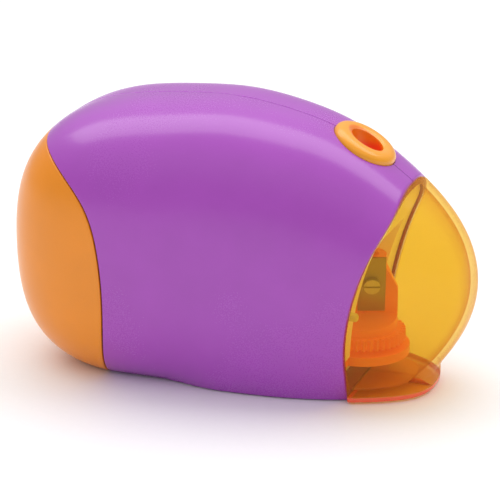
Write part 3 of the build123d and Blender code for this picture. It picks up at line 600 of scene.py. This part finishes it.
# ------------------------------------------------------------------ the outer form
def smooth_line(points: Sequence[tuple[float, float]], count: int = 400) -> np.ndarray:
    """Samples of the natural cubic spline through a few points, spaced by their chords.

    Args:
        points: the points that the line passes through, in order.
        count: how many samples are taken.
    Returns:
        The samples, evenly spaced along the chords: the bends at the points solve the
        spline's tridiagonal system, and each span is the cubic that those bends give.
    """
    knots = np.array(points)
    times = np.concatenate([[0], np.cumsum(np.hypot(*np.diff(knots, axis=0).T))])
    steps = np.diff(times)
    size = len(times)
    system = np.eye(size)
    right = np.zeros((size, 2))
    inner = np.arange(1, size - 1)
    system[inner, inner - 1] = steps[:-1]
    system[inner, inner] = 2 * (steps[:-1] + steps[1:])
    system[inner, inner + 1] = steps[1:]
    slopes = np.diff(knots, axis=0) / steps[:, None]
    right[1:-1] = 6 * np.diff(slopes, axis=0)
    bends = np.linalg.solve(system, right)
    at = np.linspace(0, times[-1], count)
    span = np.clip(np.searchsorted(times, at) - 1, 0, size - 2)
    width = steps[span][:, None]
    before = (times[span + 1] - at)[:, None]
    after = (at - times[span])[:, None]
    curve = (bends[span] * before**3 + bends[span + 1] * after**3) / (6 * width)
    curve += (knots[span] / width - bends[span] * width / 6) * before
    return curve + (knots[span + 1] / width - bends[span + 1] * width / 6) * after


@dataclass(frozen=True)
class Form:
    """The outer form in millimetres: a side profile given by its radius about a hub, and
    a half width that fills out from the profile to the flanks as a superellipse."""

    radii: tuple[float, ...] = (65.0, 56.3, 49.0, 46.0, 48.0, 56.8, 67.3, 66.0, 62.5, 45.0, 40.0, 43.5,
                                52.5, 60.5)
    hub: float = 32.0
    half_width: float = 31.5
    taper: float = -0.27
    flare: float = 0.08
    reach: float = 65.0
    rise: float = 38.0
    side_fullness: float = 2.95
    edge_fullness: float = 2.7
    base: float = 0.4
    rear_line: tuple = ((-36.0, -3.0), (-33.2, 8.0), (-31.3, 22.0), (-31.7, 38.0), (-35.6, 52.0),
                        (-43.6, 60.4), (-50.5, 65.0), (-62.0, 70.0))
    front_line: tuple = ((35.6, -3.0), (34.9, 14.0), (37.3, 30.0), (43.0, 46.0), (46.9, 56.0),
                         (46.9, 61.0), (44.0, 72.0))
    crowding: float = 0.9

    def crowd_power(self) -> float:
        """Power that crowds a grid towards the edge where the form turns over."""
        return self.side_fullness * self.crowding

    def radius(self, angle: np.ndarray) -> np.ndarray:
        """Profile radius: the trigonometric curve through the named radii, which are evenly
        spread round the hub.  Each radius is weighed by sin(n t) / (n tan t), where t is
        half the angle from it and n is how many radii there are.

        Args:
            angle: direction from the hub, counted from the nose upwards.
        Returns:
            The radius in each direction.
        """
        count = len(self.radii)
        turn = (angle[..., None] - 2 * np.pi * np.arange(count) / count) / 2
        turn = np.where(np.abs(np.sin(turn)) < 1e-7, 1e-7, turn)
        return (np.array(self.radii) * np.sin(count * turn) / (count * np.tan(turn))).sum(-1)

    def gauge(self, x: np.ndarray, z: np.ndarray, inset: float | np.ndarray = 0.0) -> np.ndarray:
        """0 at the hub and 1 on the side profile set in by a wall."""
        return np.hypot(x, z - self.hub) / (self.radius(np.arctan2(z - self.hub, x)) - inset)

    def side(self, x: np.ndarray, z: np.ndarray, inset: float | np.ndarray = 0.0) -> np.ndarray:
        """Half width of the form over a point of the side view: the widest half width,
        which tapers to the nose and flares upwards, times a superellipse of the gauge.

        Args:
            x: place along the object.
            z: height.
            inset: how far the skin is set in from the form.
        Returns:
            The half width, 0 outside the profile.
        """
        spread = 1 + self.taper * x / self.reach + self.flare * (z - self.hub) / self.rise
        left = np.clip(1 - self.gauge(x, z, inset) ** self.edge_fullness, 0, 1)
        return (self.half_width * spread - inset) * left ** (1 / self.side_fullness)

    def line(self, points: Sequence[tuple[float, float]], z: np.ndarray, shift: float = 0.0) -> np.ndarray:
        """X of a side-view joint line at a height."""
        samples = smooth_line(points)
        return np.interp(z, samples[:, 1], samples[:, 0]) + shift

    def top(self, x_of: Callable[[np.ndarray], np.ndarray], shape: tuple[int, ...],
            inset: float | np.ndarray = 0.0) -> np.ndarray:
        """Height where a line of the side view leaves the form, by halving.

        Args:
            x_of: gives the line's X at a height.
            shape: shape of the answer, () for one line.
            inset: how far the skin is set in from the form.
        Returns:
            The heights.
        """
        below, above = np.full(shape, self.base), np.full(shape, 3.0 * self.hub)
        for _ in range(HALVINGS):
            middle = (below + above) / 2
            within = self.gauge(x_of(middle), middle, inset) < 1
            below, above = np.where(within, middle, below), np.where(within, above, middle)
        return below

    def end(self, z: np.ndarray, start: np.ndarray, direction: int,
            inset: float | np.ndarray = 0.0) -> np.ndarray:
        """X where a level line leaves the form, by halving.

        Args:
            z: heights of the lines.
            start: X of a point of each line inside the form.
            direction: +1 towards the nose or -1 towards the rear.
            inset: how far the skin is set in from the form.
        Returns:
            The X of each line's end.
        """
        near, far = np.array(start, float), np.full(np.shape(start), direction * 1.3 * self.reach)
        for _ in range(HALVINGS):
            middle = (near + far) / 2
            within = self.gauge(middle, z, inset) < 1
            near, far = np.where(within, middle, near), np.where(within, far, middle)
        return near


FORM = Form()


def crowd(count: int, power: float, fine: int = 8) -> np.ndarray:
    """Shares from 0 to 1 that crowd towards 0, where the form turns over its top, with
    extra ones before the first for a rounded edge."""
    even = np.linspace(0, 1, count)
    return np.concatenate([np.linspace(0, even[1], fine, endpoint=False), even[1:]]) ** power


def rim(radius: float, steps: int = 6) -> tuple[np.ndarray, np.ndarray]:
    """A quarter round from the skin to an edge: distances left to the edge, and insets."""
    turn = np.linspace(0, np.pi / 2, steps + 1)
    return radius * (1 - np.sin(turn)), radius * (1 - np.cos(turn))


# ------------------------------------------------------------------ sub-assemblies
@dataclass
class BodyShells:
    """The two purple shells that meet over the top of the body."""

    wardrobe: Wardrobe
    wall: float = 2.2
    floor: float = 2.4
    edge: float = 0.4
    seam_gap: float = 0.2
    seam_round: float = 0.42
    columns: int = 150
    rows: int = 120
    floor_rows: int = 10
    collar_seat: float = 9.54
    boss_places: tuple = ((-34.0, 52.5), (-8.0, 62.0), (17.0, 60.0))
    screw_hole: float = 2.35
    screw_depth: float = 5.0
    hole_reach: float = 20.0
    hole_sides: int = 48
    seat_reach: float = 12.0

    def skin(self, side: int, wall: float, base: float, edge: float) -> np.ndarray:
        """Points of one skin: columns run from the cap's line to the bin's, rows from the
        seam down the flank and in along the floor to the seam again.

        Args:
            side: +1 or -1, the sign of Y.
            wall: how far the skin is set in from the form.
            base: height of its floor.
            edge: radius of its rounded rims, or 0.
        Returns:
            The grid, in metres.
        """
        left, depth = rim(edge)
        even = np.linspace(0, 1, self.columns)[1:-1]
        share = np.concatenate([np.zeros(len(left)), even, np.ones(len(left))])
        short = np.concatenate([left[::-1], np.full(self.columns - 2, edge), left])
        inset = wall + np.concatenate([depth[::-1], np.zeros(self.columns - 2), depth])

        def x_at(z: np.ndarray) -> np.ndarray:
            """X of every column at its height, between the two joint lines."""
            rear, front = FORM.line(FORM.rear_line, z, short), FORM.line(FORM.front_line, z, -short)
            return (1 - share) * rear + share * front

        peak = FORM.top(x_at, share.shape, inset)
        z = peak - (peak - base) * crowd(self.rows, FORM.crowd_power())[:, None]
        x = x_at(z)
        y = np.maximum(FORM.side(x, z, inset), self.seam_gap / 2)
        y[0] = self.seam_gap / 2
        near = np.clip(1 - (y - self.seam_gap / 2) / self.seam_round, 0, 1)
        drop = self.seam_round * (1 - np.sqrt(1 - near**2)) * (edge > 0)
        reach = np.hypot(x, z - FORM.hub)
        sunk_x, sunk_z = x * (1 - drop / reach), np.maximum(z - (z - FORM.hub) * drop / reach, base)
        inward = np.linspace(1, 0, self.floor_rows + 1)[1:, None]
        floor_y = self.seam_gap / 2 + (y[-1] - self.seam_gap / 2) * inward
        flank = np.stack([sunk_x, side * y, sunk_z], -1)
        floor_x, floor_z = np.broadcast_to(sunk_x[-1], floor_y.shape), np.full(floor_y.shape, base)
        under = np.stack([floor_x, side * floor_y, floor_z], -1)
        return np.concatenate([flank, under]) * MM

    def cutters(self, guide: "PencilGuide", side: int) -> list[bpy.types.Object]:
        """Solids that open the collar's seat and the screw holes.

        Args:
            guide: the pencil guide, which says where the collar sits and how it leans.
            side: +1 or -1, the sign of Y; the screws go in from the +1 side.
        Returns:
            The solids.
        """
        middle, reach = guide.centre(), guide.normal() * self.seat_reach * MM
        cut = [rod("seat", middle - reach, middle + reach, self.collar_seat * MM)]
        if side > 0:
            for x, z in self.boss_places:
                flank = float(FORM.side(np.array(x), np.array(z)))
                start = Vector((x, flank - self.screw_depth, z)) * MM
                end = start + Vector((0, self.hole_reach, 0)) * MM
                cut.append(rod("hole", start, end, self.screw_hole * MM, self.hole_sides))
        return cut

    def build(self, guide: "PencilGuide") -> None:
        """Make both shells.

        Args:
            guide: the pencil guide that they close round.
        """
        for side, node in ((-1, "right_shell"), (1, "left_shell")):
            outer = self.skin(side, 0.0, FORM.base, self.edge)
            inner = self.skin(side, self.wall, FORM.base + self.floor, 0.0)
            piece = closed_shell(node + "_skin", outer, inner)
            cut_away(piece, self.cutters(guide, side))
            self.wardrobe.dress(piece, Finish.PURPLE)
            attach(piece, "body")
            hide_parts(node)


@dataclass
class EndCover:
    """A cover that closes one end of the body, swept level by level round the end."""

    wardrobe: Wardrobe
    name: str
    node: str
    body: str
    finish: Finish
    direction: int
    line: tuple
    gap: float = 0.35
    wall: float = 2.2
    floor: float = 2.4
    edge: float = 0.4
    rows: int = 120
    foot_rows: int = 30
    half_columns: int = 70
    floor_rows: int = 8
    foot_height: float = 0.0
    foot_proud: float = 0.0
    foot_blend: float = 3.5
    foot_overlap: float = 1.0
    foot_round: float = 1.0
    plain_turn: float = 12.0
    rim_share: float = 0.3

    def joint_x(self, z: np.ndarray) -> np.ndarray:
        """X of the cover's edge at a height."""
        return FORM.line(self.line, z, self.direction * self.gap)

    def level(self, z: np.ndarray) -> tuple[np.ndarray, np.ndarray]:
        """Where the form is read for each row: the foot swells out of the form to an
        upright wall with a rounded lower edge.

        Args:
            z: heights of the rows.
        Returns:
            The heights at which the form is read, and how far it is set in there.
        """
        if not self.foot_height:
            return z, np.zeros_like(z)
        start = self.foot_height + self.foot_blend
        blend = np.clip((start - z) / (self.foot_blend + self.foot_overlap), 0, 1)
        proud = -self.foot_proud * blend * blend * (3 - 2 * blend)
        under = np.clip((FORM.base + self.foot_round - z) / self.foot_round, 0, 1)
        return np.maximum(z, self.foot_height), proud + self.foot_round * (1 - np.sqrt(1 - under**2))

    def skin(self, wall: float, base: float, edge: float) -> np.ndarray:
        """Points of one skin: rows go down from its tip, columns round the end from one
        rim to the other, and the last rows fill the floor.

        Args:
            wall: how far the skin is set in from the form.
            base: height of its floor.
            edge: radius of its rounded rims, or 0.
        Returns:
            The grid, in metres.
        """
        tip = float(FORM.top(self.joint_x, (), wall))
        turning = self.foot_height + self.foot_blend if self.foot_height else self.plain_turn
        z = tip - (tip - turning) * crowd(self.rows, FORM.crowd_power())
        z = np.concatenate([z, np.linspace(turning, base, self.foot_rows)[1:]])[:, None]
        read, inset = self.level(z) if edge else (z, np.zeros_like(z))
        inset = inset + wall
        rim_x = self.joint_x(z)
        end_x = FORM.end(read, rim_x, self.direction, inset)
        run = np.abs(end_x - rim_x)
        left, depth = rim(edge)
        small = np.minimum(1.0, self.rim_share * run / max(edge, LEAST_RIM))
        share = np.linspace(0, 1, self.half_columns) ** FORM.crowd_power()
        half_x = end_x + (rim_x + self.direction * edge * small - end_x) * share
        half_x = np.concatenate([half_x, rim_x + self.direction * small * left[1:]], 1)
        flat = np.zeros((len(z), self.half_columns))
        half_inset = inset + np.concatenate([flat, small * depth[1:]], 1)
        half_y = FORM.side(half_x, read, half_inset)
        half_y[:, 0] = 0
        half_y[0] = 0
        x = np.concatenate([half_x[:, :0:-1], half_x], 1)
        y = np.concatenate([-half_y[:, :0:-1], half_y], 1)
        skin = np.stack([x, y, np.broadcast_to(z, x.shape)], -1)
        shrink = np.linspace(1, 0, self.floor_rows + 1)[1:, None]
        floor_y = y[-1] * shrink
        floor_x, floor_z = np.broadcast_to(x[-1], floor_y.shape), np.full(floor_y.shape, base)
        return np.concatenate([skin, np.stack([floor_x, floor_y, floor_z], -1)]) * MM

    def build(self) -> bpy.types.Object:
        """Make the cover.

        Returns:
            The cover.
        """
        outer = self.skin(0.0, FORM.base, self.edge)
        inner = self.skin(self.wall, FORM.base + self.floor, 0.0)
        piece = closed_shell(self.name, outer, inner)
        self.wardrobe.dress(piece, self.finish)
        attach(piece, self.body)
        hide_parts(self.node)
        return piece


@dataclass
class PencilGuide:
    """The round collar that stands proud of the shells, and the guide tube under it."""

    wardrobe: Wardrobe
    axis_x: float = 33.5
    bore: float = 4.1
    mouth: float = 4.3
    bore_top: float = 61.0
    tube: float = 5.8
    bottom: float = 44.0
    collar: float = 9.4
    rise: float = 1.66
    depth: float = 3.4
    roundness: float = 2.3
    crest: float = 0.36
    lip_drop: float = 0.45
    lip_round: float = 0.28
    bore_lead: float = 1.0
    crown_drop: float = 0.6
    skirt_round: float = 0.3
    skirt_share: float = 0.97
    shoulder: float = 4.5
    around: int = 144

    def height(self, x: float) -> float:
        """Height of the top of the form over one x."""
        return float(FORM.top(lambda z: np.full(np.shape(z), x), ()))

    def tilt(self) -> float:
        """How far the collar leans forwards from upright."""
        return math.atan2(self.height(self.axis_x - 1) - self.height(self.axis_x + 1), 2)

    def normal(self) -> Vector:
        """Direction square to the collar."""
        return Vector((math.sin(self.tilt()), 0, math.cos(self.tilt())))

    def centre(self) -> Vector:
        """Middle of the collar, on the form."""
        return Vector((self.axis_x, 0, self.height(self.axis_x))) * MM

    def grid(self) -> np.ndarray:
        """A closed profile carried round the guide: up the bore, over the collar's round
        top, down its side, in to the tube and down it.  The bore is upright and the collar
        leans, so the top runs from an ellipse to a circle in the leaning plane.

        Returns:
            The grid, one row for each ring of the profile, in metres.
        """
        turn = np.linspace(0, 2 * np.pi, self.around, endpoint=False)
        tilt = self.tilt()
        along, normal = np.array([math.cos(tilt), 0, -math.sin(tilt)]), np.array(self.normal())
        across = np.array([0, 1, 0])
        middle = np.array([self.axis_x, 0, self.height(self.axis_x)])
        inner = self.mouth / np.sqrt((np.cos(turn) * math.cos(tilt)) ** 2 + np.sin(turn) ** 2)

        def upright(radius: float, z: float) -> np.ndarray:
            """A level ring about the bore's axis."""
            x, y = self.axis_x + radius * np.cos(turn), radius * np.sin(turn)
            return np.stack([x, y, np.full(turn.shape, z)], -1)

        def leaning(share: float, height: float) -> np.ndarray:
            """A ring of the collar: a share of the way out from the mouth, above the form."""
            radius = inner + (self.collar - inner) * share
            flat = radius[:, None] * (np.outer(np.cos(turn), along) + np.outer(np.sin(turn), across))
            return middle + flat + height * normal

        lip = self.rise - self.lip_drop
        first = self.lip_round / (self.collar - self.mouth)
        rings = [upright(self.tube, self.bottom), upright(self.bore, self.bottom)]
        rings += [upright(self.bore, self.bore_top - self.bore_lead)]
        rings += [upright(self.bore, self.bore_top), upright(self.mouth, self.bore_top)]
        rings += [leaning(0.0, lip - self.lip_round)]
        for turned in np.linspace(0, np.pi / 2, 7)[1:]:
            height = lip - self.lip_round * (1 - math.sin(turned))
            rings.append(leaning(first * (1 - math.cos(turned)), height))
        for step in np.linspace(0, 1, 9)[1:]:
            height = self.rise - self.lip_drop * (1 - step) ** 2
            rings.append(leaning(first + (self.crest - first) * step, height))
        for turned in np.linspace(0, np.pi / 2, 25)[1:]:
            height = (self.rise + self.crown_drop) * math.cos(turned) ** (2 / self.roundness)
            share = self.crest + (1 - self.crest) * math.sin(turned)
            rings.append(leaning(share, height - self.crown_drop))
        rings += [leaning(1.0, -self.depth + self.skirt_round), leaning(self.skirt_share, -self.depth)]
        rings += [upright(self.tube, self.height(self.axis_x) - self.depth - self.shoulder)]
        return np.stack(rings) * MM

    def build(self) -> bpy.types.Object:
        """Make the guide.

        Returns:
            The guide.
        """
        piece = surface_mesh("pencil_guide_collar", self.grid(), round_rows=True, round_columns=True)
        self.wardrobe.dress(piece, Finish.GUIDE)
        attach(piece, "body")
        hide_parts("pencil_guide")
        return piece


@dataclass
class Studio:
    """Pale floor, soft light and the camera, all in metres."""

    azimuth: float = 20.0
    elevation: float = 19.0
    distance: float = 0.660
    target: tuple[float, float, float] = (0.0, 0.0, 0.034)
    view_width: float = 0.1406
    sensor: float = 36.0
    floor_size: float = 3.0
    dome_low: float = 0.15
    dome_high: float = 0.75
    dome_dim: float = 0.50
    dome_bright: float = 0.9
    paper: tuple[Colour, Colour] = ((0.93, 0.93, 0.93), (0.96, 0.96, 0.96))
    fibre_size: float = 2 * MM
    top_box_place: tuple[float, float, float] = (-0.05, 0.22, 0.75)
    top_box_aim: tuple[float, float, float] = (0.0, 0.0, 0.03)
    top_box_size: tuple[float, float] = (1.6, 0.5)
    top_box_power: float = 5.0

    def camera(self) -> None:
        """Place the camera and make it the scene's own."""
        turn, lift = math.radians(self.azimuth), math.radians(self.elevation)
        back = Vector((math.sin(turn) * math.cos(lift), -math.cos(turn) * math.cos(lift), math.sin(lift)))
        data = bpy.data.cameras.new("camera")
        data.sensor_width = self.sensor
        data.lens = self.sensor * self.distance / self.view_width
        data.clip_start = 0.01
        eye = bpy.data.objects.new("camera", data)
        eye.location = Vector(self.target) + back * self.distance
        eye.rotation_mode = "QUATERNION"
        eye.rotation_quaternion = (-back).to_track_quat("-Z", "Y")
        bpy.context.scene.collection.objects.link(eye)
        bpy.context.scene.camera = eye

    def top_box(self) -> None:
        """Place the one soft light, above and behind the object."""
        data = bpy.data.lights.new("top_box", "AREA")
        data.shape = "RECTANGLE"
        data.size, data.size_y = self.top_box_size
        data.energy = self.top_box_power
        lamp = bpy.data.objects.new("top_box", data)
        lamp.location = self.top_box_place
        lamp.rotation_mode = "QUATERNION"
        aim = Vector(self.top_box_aim) - Vector(self.top_box_place)
        lamp.rotation_quaternion = aim.to_track_quat("-Z", "Y")
        bpy.context.scene.collection.objects.link(lamp)

    def paper_floor(self) -> None:
        """Make the sheet of pale paper that the object stands on."""
        size = self.floor_size
        corners = [[(-size, y, 0), (size, y, 0)] for y in (-size, size)]
        floor = surface_mesh("floor", np.array(corners, float))
        shade = Shade(bpy.data.materials.new("floor_paper"))
        fibres = shade.noise(self.fibre_size, 3.0)
        surface = shade.principled(Base_Color=shade.blend(fibres, *self.paper), Roughness=0.6)
        floor.data.materials.append(shade.done(surface))
        if floor.data.polygons[0].normal.z < 0:
            floor.data.flip_normals()

    def dome(self) -> None:
        """Make the world: white light that grows from the horizon upwards."""
        sky = Shade(bpy.data.worlds.new("studio"))
        height = Value(sky, sky.node("TexCoord").outputs["Generated"]).axis("Z")
        rise = height.ramp(self.dome_low, self.dome_high)
        strength = rise * (self.dome_bright - self.dome_dim) + self.dome_dim
        light = sky.node("Background", {}, Color=(1, 1, 1), Strength=strength).outputs[0]
        bpy.context.scene.world = sky.done(light)

    def build(self) -> None:
        """Make the camera, the floor, the world and the light."""
        bpy.context.scene.view_settings.view_transform = "Standard"
        self.camera()
        self.paper_floor()
        self.dome()
        self.top_box()


def main() -> None:
    """Build every sub-assembly in order."""
    logging.basicConfig(level=logging.INFO)
    Studio().build()
    wardrobe = Wardrobe()
    wardrobe.dress_nodes()
    guide = PencilGuide(wardrobe)
    guide.build()
    BodyShells(wardrobe).build(guide)
    EndCover(wardrobe, "battery_cap_skin", "battery_cap", "battery_cap", Finish.ORANGE, -1,
             FORM.rear_line).build()
    EndCover(wardrobe, "shavings_bin_shell", "shavings_bin", "shavings_bin", Finish.CLEAR, 1,
             FORM.front_line, wall=2.0, foot_height=5.2, foot_proud=0.9).build()


if __name__ == "__main__":
    main()
